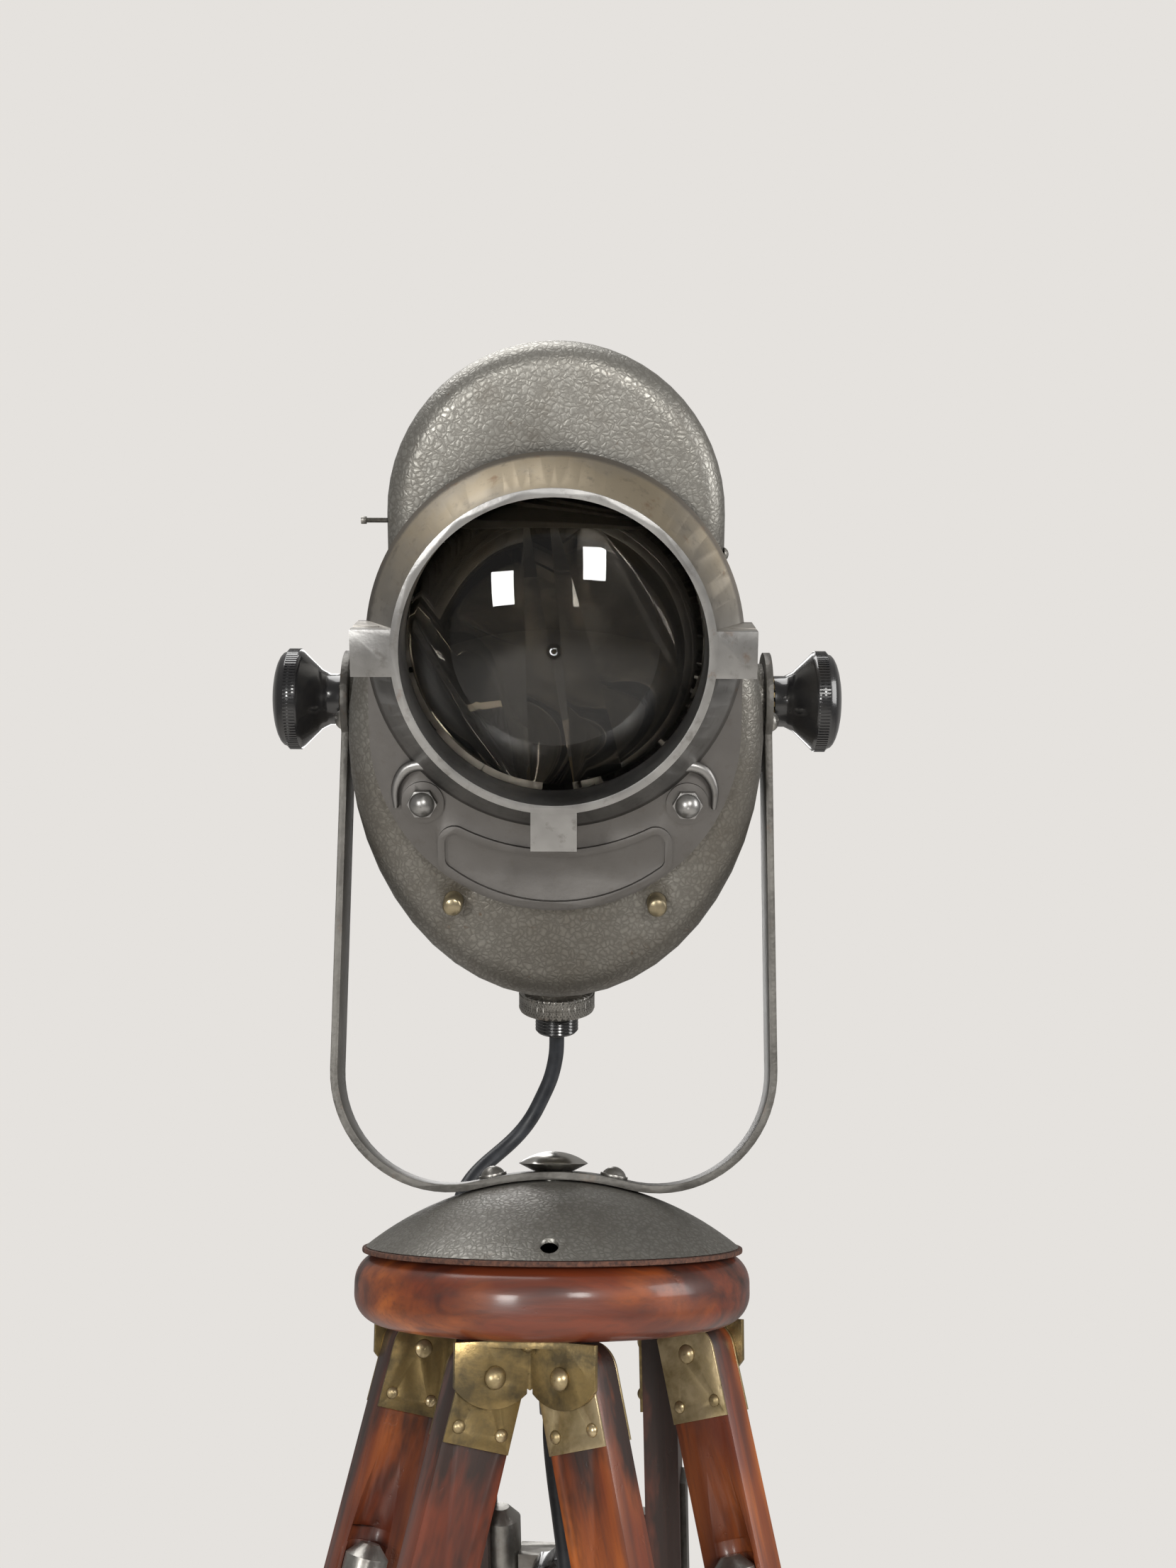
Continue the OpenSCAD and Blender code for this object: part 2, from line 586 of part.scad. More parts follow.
module head_disc() color("#7a3a1c") stand() translate([0, 0, disc_z]) difference() {
    round = disc_t * 0.42;
    rotate_extrude($fn = 180) {
        square([disc_r - round, disc_t]);
        translate([0, round]) square([disc_r, disc_t - 2 * round]);
        translate([disc_r - round, round]) circle(r = round);
        translate([disc_r - round, disc_t - round]) circle(r = round);
    }
    translate([0, 0, -1]) cylinder(r = bolt_d / 2 + fit, h = disc_t + 2);
}

// What is cut from one ear, in its leg's frame: the corners below its round end, and the pivot's bore
module ear_cut(side) {
    slab(side > 0 ? ear_in - 1 : -ear_out - 1, side > 0 ? ear_out + 1 : 1 - ear_in)
        polygon(concat([[-25, -25], [35, -25], [35, 0]], arc(0, 8.5, 20, -25, -155, 20), [[-25, 0]]));
    along_y(side > 0 ? ear_in - 1 : -ear_out - 1, side > 0 ? ear_out + 1 : 1 - ear_in, pin_r + fit);
}

module bracket_spot(k) rotate([0, 0, leg_turn + 60 + 120 * k]) children();

// Point of a bracket's plan, at a distance along one of its legs and across from it
function bracket_point(along, across, side) = [along * cos(60) + across * sin(60),
    side * (along * sin(60) - across * cos(60))];

module hinge_brackets() color("#9b8747") stand() for (k = [0 : 2]) difference() {
    end = pivot_r + 16.5;
    translate([0, 0, pivot_z - 14]) bracket_spot(k) union() {
        linear_extrude(stile_top + head_gap + 14) polygon([[ear_out / sin(60), 0], bracket_point(end, ear_out, 1),
            bracket_point(end, ear_in, 1), [ear_in / sin(60), 0], bracket_point(end, ear_in, -1),
            bracket_point(end, ear_out, -1)]);
        translate([0, 0, stile_top + head_gap + 11.5]) linear_extrude(2.5) polygon([[ear_in / sin(60) + 1, 0],
            bracket_point(ear_flange, ear_in + 1, -1), bracket_point(ear_flange, ear_in + 1, 1)]);
    }
    for (side = [-1, 1]) translate([0, 0, pivot_z]) rotate([0, 0, leg_turn + 60 + 120 * k - 60 * side])
        translate([pivot_r, 0, 0]) ear_cut(side);
    bracket_spot(k) translate([bracket_screw_r, 0, disc_z - 5]) cylinder(r = 1.7, h = 10);
}

module bracket_screws() color("#8f7d45") stand() for (k = [0 : 2]) bracket_spot(k)
    translate([bracket_screw_r, 0, disc_z - 2.5]) {
        rotate([180, 0, 0]) dome_head(3.2, 1.8);
        cylinder(r = 1.6, h = 2.5);
    }

// ---------- legs ----------

// Outline of a stile in X and Z: full width at the top, narrower below, outer top corner round
module stile_outline() {
    half = stile_w / 2;
    translate([half - stile_top, 0]) circle(r = stile_top);
    polygon(concat([[-half, stile_top - 4], [4 - half, stile_top], [half - stile_top, stile_top], [half - stile_top, 0], [half, 0],
        [half, -stile_len], [-half + narrow, -stile_len]],
        [for (i = [8 : -1 : 0]) [-half + narrow * (1 - cos(i * 22.5)) / 2, -95 - 5 * i]]));
}

module groove(side) translate([rail_x, side * rail_y, 0]) {
    translate([0, 0, -stile_len - 1]) cylinder(r = groove_r, h = stile_len - cap_top + 6);
    translate([0, 0, -cap_top + 4]) rotate([side * 9, 0, 0]) translate([0, 0, -6]) cylinder(r = groove_r, h = 46);
}

module stiles() difference() {
    both_y() slab(wood_in, wood_out) stile_outline();
    groove(1);
    groove(-1);
    along_y(-leg_w, leg_w, pin_r + 0.05);
    for (x = [-rivet_x, rivet_x]) translate([x, 0, rivet_z]) along_y(-leg_w, leg_w, rivet_r + 0.05);
    both_y() for (x = [-stile_w / 2 + narrow, stile_w / 2]) translate([x, wood_out, -stile_len - 1])
        rotate([0, 0, 45]) translate([-2, -2, 0]) cube([4, 4, stile_len - 104]);
}

module both_y() { children(); mirror([0, 1, 0]) children(); }

module plates() difference() {
    both_y() for (y = [wood_in - plate_t, wood_out]) slab(y, y + plate_t) intersection() {
        stile_outline();
        translate([-stile_w, -plate_low]) square([2 * stile_w, plate_low + 20]);
    }
    along_y(-leg_w, leg_w, pin_r + 0.05);
    for (x = [-rivet_x, rivet_x]) translate([x, 0, rivet_z]) along_y(-leg_w, leg_w, rivet_r + 0.05);
}

module rivets() both_y() {
    along_y(wood_in - plate_t - 0.5, ear_out + 0.8, pin_r);
    translate([0, ear_out + 0.2, 0]) rotate([-90, 0, 0]) dome_head(4.4, 3);
    translate([0, wood_in - plate_t, 0]) rotate([90, 0, 0]) dome_head(4, 1.8);
    for (x = [-rivet_x, rivet_x]) translate([x, 0, rivet_z]) {
        along_y(wood_in - plate_t - 0.3, leg_w / 2 + 0.3, rivet_r);
        translate([0, leg_w / 2, 0]) rotate([-90, 0, 0]) dome_head(2.6, 1.5);
        translate([0, wood_in - plate_t, 0]) rotate([90, 0, 0]) dome_head(2.6, 1.5);
    }
}

// Steel strip on one stile, and the band across the lower ends that guides the rails
module ironwork(side) {
    y0 = side > 0 ? wood_out : -wood_out - 2.5;
    slab(y0, y0 + 2.5) translate([-stile_w / 2 + narrow + 3, -stile_len + 40]) square([stile_w - narrow - 6,
        stile_len - 40 - 62]);
    difference() {
        translate([-stile_w / 2 + narrow, -wood_out - band_t, -stile_len - band_t])
            cube([stile_w - narrow, 2 * (wood_out + band_t), band_t]);
        both_y() translate([rail_x, rail_y, -stile_len - band_t - 1]) cylinder(r = rail_d / 2 + fit, h = band_t + 2);
    }
    both_y() slab(wood_out, wood_out + band_t) translate([-stile_w / 2 + narrow + 2, -stile_len - eps])
        square([stile_w - narrow - 4, 34]);
}

module rails() both_y() translate([rail_x, rail_y, 0]) {
    translate([0, 0, shoe_z]) cylinder(r = rail_d / 2, h = -shoe_z - cap_low);
    translate([0, 0, -cap_low - eps]) cylinder(r = rail_d / 2 - cap_t - fit, h = cap_low - cap_top - 6);
}

module crosshead() difference() {
    union() {
        both_y() translate([rail_x, rail_y, 0]) difference() {
            union() {
                translate([0, 0, -cap_low]) cylinder(r = rail_d / 2, h = cap_low - cap_top - 5);
                translate([0, 0, -cap_top - 5]) cylinder(r1 = rail_d / 2, r2 = rail_d / 2 - 5, h = 5);
            }
            translate([0, 0, -cap_low - 1]) cylinder(r = rail_d / 2 - cap_t, h = cap_low - cap_top - 4);
        }
        translate([rail_x - 6, -rail_y + rail_d / 2 - cap_t / 2, cross_z - 7])
            cube([12, 2 * rail_y - rail_d + cap_t, 14]);
        translate([rail_x - 12, 0, cross_z]) along_x(0, 8, 7);
    }
    translate([rail_x - 20, 0, cross_z]) along_x(0, 30, pin_r + fit);
}

module clamp_knob() translate([rail_x, 0, cross_z]) {
    along_x(-20, 6, pin_r);
    difference() {
        along_x(-27.5, -12 - gap, 17);
        for (i = [0 : 5]) rotate([60 * i, 0, 0]) translate([0, 21, 0]) along_x(-40, 0, 6);
    }
    translate([-27.5, 0, 0]) rotate([0, -90, 0]) dome_head(13, 3);
}

module foot(k) {
    at_leg(k) difference() {
        hull() {
            both_y() translate([rail_x, rail_y, shoe_z - 8]) cylinder(r = rail_d / 2 + 1, h = 8, $fn = 32);
            translate([rail_x, 0, -leg_len + 8]) cylinder(r = 9, h = 8, $fn = 32);
        }
        translate([rail_x, 0, -leg_len]) sphere(foot_r - 2);
    }
    difference() {
        at_leg(k) translate([rail_x, 0, -leg_len]) sphere(foot_r);
        translate([-1000, -1000, -100]) cube([2000, 2000, 100]);
    }
}

// Nodes of leg number k; the steel strip sits on the side that faces the back of the stand
module leg_part(k, part) {
    if (part == "stiles") color("#6b3218") at_leg(k) stiles();
    if (part == "plates") color("#85733b") at_leg(k) plates();
    if (part == "rivets") color("#a89a78") at_leg(k) rivets();
    if (part == "ironwork") color("#8d8f90") at_leg(k) ironwork(k == 1 ? 1 : -1);
    if (part == "rails") color("#7d4020") at_leg(k) rails();
    if (part == "crosshead") color("#8b8a80") at_leg(k) crosshead();
    if (part == "clamp_knob") color("#1c1b1b") at_leg(k) clamp_knob();
    if (part == "foot") color("#232222") foot(k);
}

// ---------- cords ----------

function unit(v) = v / norm(v);
function spline(p, a, b, c, d, t) = 0.5 * (2 * b + (c - a) * t + (2 * a - 5 * b + 4 * c - d) * t * t
    + (3 * b - a - 3 * c + d) * t * t * t);
function smooth(p, n) = concat([for (i = [0 : len(p) - 2], j = [0 : n - 1])
    spline(p, p[max(i - 1, 0)], p[i], p[i + 1], p[min(i + 2, len(p) - 1)], j / n)], [p[len(p) - 1]]);
function heading(p, i) = unit(p[min(i + 1, len(p) - 1)] - p[max(i - 1, 0)]);

// Tube of radius r along the points p, with n sides
module sweep(p, r, n) {
    last = len(p) - 1;
    rings = [for (i = [0 : last]) let (t = heading(p, i), a = unit(cross(t, [0.31, 0.94, 0.1])), b = cross(t, a))
        for (j = [0 : n - 1]) p[i] + r * (cos(360 * j / n) * a + sin(360 * j / n) * b)];
    polyhedron(rings, concat(
        [[for (j = [0 : n - 1]) j]],
        [for (i = [0 : last - 1], j = [0 : n - 1]) let (k = (j + 1) % n)
            [i * n + j, (i + 1) * n + j, (i + 1) * n + k, i * n + k]],
        [[for (j = [n - 1 : -1 : 0]) last * n + j]]));
}

module lamp_lead() color("#2b2b2d") in_yoke() sweep(smooth(LEAD, 2), cord_r, 10);
module at_coil() stand() rotate([0, 0, floor_turn]) translate([coil_x, coil_y, 0]) children();
module mains_cord() color("#2b2b2d") {
    stand() rotate([0, 0, floor_turn]) sweep(smooth(MAINS, 3), cord_r, 8);
    at_coil() rotate([0, 0, tail_turn]) sweep(smooth(TAIL, 2), cord_r, 8);
}
module cord_coil() color("#2b2b2d") at_coil() difference() {
    cylinder(r = coil_out, h = coil_h);
    translate([0, 0, -1]) cylinder(r = coil_in, h = coil_h + 2);
}
module plug() color("#2a2a2a") at_coil() rotate([0, 0, tail_turn]) translate([0, plug_y, coil_h + plug_r]) {
    translate([-6, 0, 0]) rotate([0, 90, 0]) cylinder(r1 = 4.6, r2 = 6.5, h = 14);
    along_x(8, 42, plug_r);
    for (y = [-4.5, 4.5]) translate([0, y, 0]) along_x(41, 60, 2);
}

// ---------- assembly ----------

front_casting();
front_shell();
rear_shell();
hood();
hood_hinge_pin();
hood_catch_pin();
lens();
lens_ring();
guide_rods();
casting_nuts();
gland_nut();
gland_bush();
trunnion_studs();
lamp_carriage();
reflector();
lamp_holder();
lamp_bulb();
focus_knob();
tilt_knob_left();
tilt_knob_right();
fan_washer();
yoke_strap();
yoke_screws();
dome_cover();
cord_grommet();
pivot_bolt();
pivot_nut();
leather_ring();
head_disc();
hinge_brackets();
bracket_screws();
lamp_lead();
mains_cord();
cord_coil();
plug();
for (k = [0 : 2], part = ["stiles", "plates", "rivets", "ironwork", "rails", "crosshead", "clamp_knob", "foot"])
    leg_part(k, part);
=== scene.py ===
import json
import math

import bmesh
import bpy
from mathutils import Matrix, Vector


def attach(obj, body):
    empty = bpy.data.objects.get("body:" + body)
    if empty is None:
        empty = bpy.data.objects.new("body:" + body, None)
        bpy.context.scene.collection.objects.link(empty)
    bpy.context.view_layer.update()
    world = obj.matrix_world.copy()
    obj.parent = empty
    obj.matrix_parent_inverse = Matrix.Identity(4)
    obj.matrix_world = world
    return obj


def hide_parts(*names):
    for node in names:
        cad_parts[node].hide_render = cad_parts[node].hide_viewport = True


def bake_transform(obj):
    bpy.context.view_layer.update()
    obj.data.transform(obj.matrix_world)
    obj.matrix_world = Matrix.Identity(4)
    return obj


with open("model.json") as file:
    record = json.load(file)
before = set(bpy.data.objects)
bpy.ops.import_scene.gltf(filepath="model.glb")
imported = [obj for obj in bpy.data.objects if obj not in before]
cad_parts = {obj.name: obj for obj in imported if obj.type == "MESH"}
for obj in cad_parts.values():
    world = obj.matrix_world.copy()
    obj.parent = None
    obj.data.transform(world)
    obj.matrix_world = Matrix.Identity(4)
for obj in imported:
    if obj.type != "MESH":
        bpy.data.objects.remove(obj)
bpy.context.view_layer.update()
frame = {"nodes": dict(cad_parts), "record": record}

MM = 0.001

# ---- places taken from the part's own sizes, in millimetres ----
BASE = Vector((14.127, -49.111, 0))
PIVOT_Z, TILT_Z = 985.248, 1268.548
REST_TILT, SPLAY, PIVOT_R, LEG_TURN = 24, 14.4, 45.4, 203.4
LEGS = ("left", "right", "rear")
COIL = Vector((-78, 103, 0))
KNOB_X = 97.5        # from the housing's middle to the inner face of a tilt knob
KNOB_RIM_X = 20.8    # from that face to the middle of the knob's knurled rim
GLAND_NUT = (0, -10, -139.5)

# ---- the camera's own numbers ----
FOCAL, PITCH, ROLL = 39.06, 10.9, 0.3
CAMERA_FROM_STAND = (14, -750, PIVOT_Z + 100.3)


def head_matrix():
    tilt = Matrix.Rotation(math.radians(REST_TILT), 4, "X")
    return Matrix.Translation(BASE + Vector((0, 0, TILT_Z))) @ tilt


def leg_matrix(number):
    turn = Matrix.Rotation(math.radians(LEG_TURN + 120 * number), 4, "Z")
    lean = Matrix.Rotation(math.radians(-SPLAY), 4, "Y")
    out = Matrix.Translation((PIVOT_R, 0, 0))
    return Matrix.Translation(BASE + Vector((0, 0, PIVOT_Z))) @ turn @ out @ lean


def metres(matrix, point=(0, 0, 0)):
    return (matrix @ Vector(point)) * MM


HEAD = head_matrix()
STAND = Matrix.Translation(BASE)

# ---- camera ----
camera = bpy.data.objects.new("camera", bpy.data.cameras.new("camera"))
bpy.context.scene.collection.objects.link(camera)
bpy.context.scene.camera = camera
camera.data.sensor_width = 36
camera.data.lens = FOCAL
camera.data.clip_start = 0.05
camera.data.dof.use_dof = False
camera.matrix_world = (
    Matrix.Translation((BASE + Vector(CAMERA_FROM_STAND)) * MM)
    @ Matrix.Rotation(math.radians(90 + PITCH), 4, "X")
    @ Matrix.Rotation(math.radians(ROLL), 4, "Z")
)


# ---- shader maths ----
class Value:
    """A shader socket whose +, - and * add Math nodes."""

    def __init__(self, finish, socket):
        self.finish, self.socket = finish, socket

    def math(self, operation, *others, first=None):
        a = self if first is None else first
        return self.finish.add("ShaderNodeMath", {"operation": operation}, dict(enumerate((a, *others))))

    def __add__(self, other):
        return self.math("ADD", other)

    __radd__ = __add__

    def __mul__(self, other):
        return self.math("MULTIPLY", other)

    __rmul__ = __mul__

    def __sub__(self, other):
        return self.math("SUBTRACT", other)

    def __rsub__(self, other):
        return self.math("SUBTRACT", self, first=other)

    def over(self, low, high):
        """0 below low, 1 above high, straight between them."""
        limits = {"Value": self, "From Min": low, "From Max": high}
        return self.finish.add("ShaderNodeMapRange", {"clamp": True}, limits)


class Finish:
    """A procedural material built from one method that adds nodes."""

    def __init__(self, name, **plain):
        self.material = bpy.data.materials.new(name)
        self.material.use_nodes = True
        self.nodes = self.material.node_tree.nodes
        self.links = self.material.node_tree.links
        self.shader = next(n for n in self.nodes if n.type == "BSDF_PRINCIPLED")
        for socket, value in plain.items():
            self.set(socket.replace("_", " "), value)
        self.place = self.add("ShaderNodeTexCoord", out="Object")

    def set(self, socket, value):
        self.connect(self.shader.inputs[socket], value)

    def connect(self, socket, value):
        if isinstance(value, Value):
            self.links.new(value.socket, socket)
        elif socket.type == "RGBA" and len(value) == 3:
            socket.default_value = (*value, 1)
        else:
            socket.default_value = value

    def add(self, kind, settings=None, sockets=None, out=0):
        node = self.nodes.new(kind)
        for key, value in (settings or {}).items():
            if key == "stops":
                ramp = node.color_ramp
                while len(ramp.elements) < len(value):
                    ramp.elements.new(0.5)
                for element, (at, colour) in zip(ramp.elements, value):
                    element.position = at
                    element.color = (*colour, 1)
            else:
                setattr(node, key, value)
        for key, value in (sockets or {}).items():
            self.connect(node.inputs[key], value)
        return Value(self, node.outputs[out])

    def noise(self, scale, detail=3, roughness=0.55, at=None, distortion=0.0):
        return self.add("ShaderNodeTexNoise", None, {
            "Vector": at or self.place, "Scale": scale, "Detail": detail,
            "Roughness": roughness, "Distortion": distortion})

    def cells(self, scale, feature="F1", at=None, randomness=1.0):
        return self.add("ShaderNodeTexVoronoi", {"feature": feature},
                        {"Vector": at or self.place, "Scale": scale, "Randomness": randomness})

    def mix(self, factor, low, high, blend="MIX"):
        return self.add("ShaderNodeMix", {"data_type": "RGBA", "blend_type": blend},
                        {0: factor, 6: low, 7: high}, out=2)

    def stretch(self, matrix, scale):
        """Object coordinates turned into a piece's own frame and scaled along its axes."""
        turn = matrix.to_3x3().inverted().to_euler()
        straight = self.add("ShaderNodeMapping", {"vector_type": "POINT"},
                            {"Vector": self.place, "Rotation": turn})
        return self.add("ShaderNodeMapping", None, {"Vector": straight, "Scale": scale})

    def bump(self, height, distance, strength=1.0, normal=None):
        sockets = {"Height": height, "Distance": distance, "Strength": strength}
        if normal is not None:
            sockets["Normal"] = normal
        return self.add("ShaderNodeBump", None, sockets)

    def depth(self, axis="Z", at=None):
        return self.add("ShaderNodeSeparateXYZ", None, {0: at or self.place}, out=axis)


def hammered_paint():
    f = Finish("hammered_paint", Metallic=0.72)
    drift = f.add("ShaderNodeTexNoise", None, {"Vector": f.place, "Scale": 260.0, "Detail": 2.0}, out="Color")
    small = f.add("ShaderNodeVectorMath", {"operation": "SCALE"}, {0: drift, "Scale": 0.004})
    warp = f.add("ShaderNodeVectorMath", {"operation": "ADD"}, {0: f.place, 1: small})
    veins = f.cells(400, "DISTANCE_TO_EDGE", warp).over(0.0, 0.3)
    cloud = f.noise(14, 4)
    dust = f.noise(60, 4, 0.65)
    # Painted light: the paint grows lighter towards the top of the head, from 1.1 to 1.36 m up; painted pieces
    # lower than 1.05 to 1.09 m are lightened too.
    height = f.depth("Z").over(1.1, 1.36) + (1 - f.depth("Z").over(1.05, 1.09)) * 0.8
    base = f.mix((cloud * 0.6 + height * 0.4).over(0.3, 0.62), (0.12, 0.108, 0.09), (0.28, 0.273, 0.25))
    base = f.mix((1 - veins) * 0.5, base, (0.075, 0.068, 0.058))
    base = f.mix(dust.over(0.5, 0.72) * 0.35, base, (0.1, 0.085, 0.066))
    spots = f.noise(240, 2, 0.5).over(0.72, 0.78)
    base = f.mix(spots * 0.5, base, (0.1, 0.055, 0.03))
    f.set("Base Color", base)
    f.set("Roughness", 0.3 + dust * 0.16 + (1 - veins) * 0.12)
    f.set("Normal", f.bump(veins * 0.7 + f.noise(500, 2) * 0.3, 0.0003, 0.42))
    return f.material


def cast_aluminium():
    f = Finish("cast_aluminium", Metallic=0.95)
    local = f.add("ShaderNodeMapping", {"vector_type": "POINT"}, {"Vector": f.place,
                  "Rotation": HEAD.to_3x3().inverted().to_euler()})
    origin = HEAD.to_3x3().inverted() @ (HEAD.translation * MM)
    along = f.depth("Y", local) - origin.y
    up = f.depth("Z", local) - origin.z
    grain = f.noise(420, 3, 0.6)
    cloud = f.noise(22, 4, 0.6)
    base = f.mix(cloud.over(0.3, 0.7), (0.22, 0.216, 0.21), (0.42, 0.415, 0.405))
    collar = along.over(-0.0835, -0.0815) * (1 - along.over(-0.0565, -0.0555)) * up.over(0.03, 0.075)
    base = f.mix(collar * cloud.over(0.15, 0.55) * 0.9, base, (0.34, 0.285, 0.2))
    flange = along.over(-0.0605, -0.0585)
    base = f.mix(flange * 0.78, base, (0.105, 0.097, 0.09))
    pits = f.noise(190, 4, 0.7).over(0.55, 0.72)
    base = f.mix(pits * 0.45, base, (0.12, 0.108, 0.095))
    rust = f.noise(75, 4, 0.7).over(0.62, 0.74) * up.over(0.0, 0.02)
    base = f.mix(rust * 0.55, base, (0.19, 0.1, 0.05))
    f.set("Base Color", base)
    f.set("Roughness", 0.27 + cloud * 0.18 + flange * 0.12 + collar * 0.14)
    f.set("Normal", f.bump(grain * 0.4 + f.noise(130, 3) * 0.6, 0.0004, 0.35))
    return f.material


def steel(name, light, dark, rough, scratch=0.25, rust=0.0, pit=0.00012, metal=0.9):
    f = Finish(name, Metallic=metal)
    wear = f.noise(38, 5, 0.65)
    fine = f.noise(900, 2)
    base = f.mix(wear.over(0.35, 0.66), dark, light)
    if rust:
        base = f.mix(f.noise(110, 5, 0.7).over(0.6, 0.72) * rust, base, (0.17, 0.085, 0.04))
    f.set("Base Color", base)
    f.set("Roughness", rough + wear * scratch)
    f.set("Normal", f.bump(f.cells(420).over(0.0, 0.7) * 0.5 + fine * 0.5, pit, 0.6))
    return f.material


def brass(name, bright, dull):
    f = Finish(name, Metallic=0.8)
    cloud = f.noise(34, 5, 0.62, distortion=0.6)
    fine = f.noise(260, 3, 0.6)
    patina = (cloud * 0.75 + fine * 0.25).over(0.42, 0.6)
    base = f.mix(patina, bright, dull)
    base = f.mix(f.noise(150, 4, 0.7).over(0.66, 0.72) * 0.7, base, (0.06, 0.045, 0.02))
    f.set("Base Color", base)
    f.set("Roughness", 0.28 + patina * 0.24)
    f.set("Normal", f.bump(fine + f.noise(700, 2) * 0.4, 0.00015, 0.5))
    return f.material


def black_moulding():
    f = Finish("black_moulding", Coat_Weight=0.6, Coat_Roughness=0.06)
    haze = f.noise(60, 4, 0.6)
    f.set("Base Color", f.mix(haze.over(0.5, 0.8), (0.009, 0.009, 0.01), (0.022, 0.02, 0.018)))
    f.set("Roughness", 0.16 + haze * 0.14)
    f.set("Normal", f.bump(f.noise(1400, 2), 0.00002, 0.4))
    return f.material


def rubber(name, colour, rough):
    f = Finish(name)
    haze = f.noise(90, 4, 0.6)
    f.set("Base Color", f.mix(haze.over(0.4, 0.75), colour, tuple(c * 1.9 + 0.006 for c in colour)))
    f.set("Roughness", rough + haze * 0.15)
    f.set("Normal", f.bump(f.noise(1300, 3), 0.00005, 0.5))
    return f.material


def varnished_wood(name, matrix, along, dark=0.0, shaded_above=2.0):
    """Old varnished hardwood whose grain runs along one axis of the piece's own frame."""
    f = Finish(name, Coat_Roughness=0.16)
    scale = [1.0, 1.0, 1.0]
    scale[along] = 0.07
    grain_place = f.stretch(matrix, scale)
    fibre = f.noise(520, 4, 0.65, grain_place)
    band = f.noise(70, 3, 0.5, grain_place, 1.2)
    age = f.noise(9, 4, 0.6, f.stretch(matrix, [0.45 if i == along else 1.0 for i in range(3)]))
    red = f.mix(band.over(0.36, 0.62), (0.055, 0.01, 0.004), (0.15, 0.026, 0.006))
    orange = f.mix(band.over(0.35, 0.66), (0.22, 0.045, 0.006), (0.4, 0.105, 0.013))
    base = f.mix((age - dark).over(0.48, 0.6), red, orange)
    stain = f.noise(24, 5, 0.7, f.stretch(matrix, [0.3 if i == along else 1.0 for i in range(3)]))
    # Painted shade: the wood darkens towards its top from the given height up, where the head disc shades the
    # legs.
    shade_under_disc = f.depth("Z").over(shaded_above, shaded_above + 0.045) * 0.16
    # One mask joins real stains, the painted shade under the disc and the piece's own darkening amount.
    stain_and_shade = (stain + shade_under_disc + dark * 0.9).over(0.55, 0.68)
    base = f.mix(stain_and_shade, base, (0.022, 0.009, 0.006))
    base = f.mix(fibre.over(0.5, 0.75) * 0.45, base, (0.05, 0.017, 0.01))
    f.set("Base Color", base)
    f.set("Roughness", 0.34 + stain * 0.2 + fibre * 0.1)
    f.set("Coat Weight", 0.42 - stain_and_shade * 0.3)
    chips = f.noise(85, 4, 0.7).over(0.64, 0.7)
    f.set("Normal", f.bump(fibre * 0.4 + (1 - chips) * 0.6, 0.00035, 0.5))
    return f.material


def leather():
    f = Finish("leather")
    hair = f.noise(520, 4, 0.7)
    f.set("Base Color", f.mix(hair.over(0.35, 0.7), (0.035, 0.016, 0.012), (0.15, 0.065, 0.04)))
    f.set("Roughness", 0.75 + hair * 0.2)
    f.set("Normal", f.bump(hair + f.cells(600), 0.0004, 0.8))
    return f.material


def clear_glass(name, tint, rough):
    f = Finish(name, Transmission_Weight=1.0, IOR=1.5)
    film = f.noise(26, 4, 0.6)
    f.set("Base Color", f.mix(film.over(0.4, 0.75), tint, tuple(c * 0.86 for c in tint)))
    f.set("Roughness", film.over(0.5, 0.8) * rough)
    return f.material


def ceramic():
    f = Finish("ceramic")
    cloud = f.noise(70, 4, 0.6)
    f.set("Base Color", f.mix(cloud.over(0.35, 0.7), (0.62, 0.58, 0.48), (0.75, 0.72, 0.64)))
    f.set("Roughness", 0.4 + cloud * 0.2)
    return f.material


def mirror_metal(name="mirror_metal"):
    f = Finish(name, Metallic=1.0)
    haze = f.noise(50, 4, 0.6)
    f.set("Base Color", f.mix(haze.over(0.4, 0.8), (0.7, 0.69, 0.66), (0.5, 0.48, 0.44)))
    f.set("Roughness", 0.1 + haze * 0.16)
    f.set("Normal", f.bump(f.noise(300, 3), 0.00006, 0.3))
    return f.material


PAINT, CASTING = hammered_paint(), cast_aluminium()
WORN_STEEL = steel("worn_steel", (0.4, 0.39, 0.365), (0.2, 0.19, 0.175), 0.26, 0.2, 0.35)
STRAP_STEEL = steel("strap_steel", (0.14, 0.134, 0.122), (0.06, 0.056, 0.05), 0.36, 0.2, 0.25, 0.0003, 0.5)
BRASS_DULL = brass("brass_dull", (0.3, 0.215, 0.09), (0.1, 0.078, 0.042))
BRASS_AGED = brass("brass_aged", (0.3, 0.25, 0.16), (0.14, 0.12, 0.08))
BRASS_PALE = brass("brass_pale", (0.5, 0.4, 0.24), (0.24, 0.185, 0.09))
MOULDING = black_moulding()
BLACK_RUBBER = rubber("black_rubber", (0.018, 0.018, 0.018), 0.6)
CORD_SHEATH = rubber("cord_sheath", (0.017, 0.019, 0.023), 0.38)
LEATHER, CERAMIC, MIRROR = leather(), ceramic(), mirror_metal()
OLD_MIRROR = steel("old_mirror", (0.2, 0.19, 0.17), (0.09, 0.085, 0.075), 0.3, 0.2)
LENS_GLASS = clear_glass("lens_glass", (0.5, 0.47, 0.42), 0.1)
BULB_GLASS = clear_glass("bulb_glass", (0.95, 0.93, 0.88), 0.05)
DISC_WOOD = varnished_wood("disc_wood", STAND, 0, 0.02)
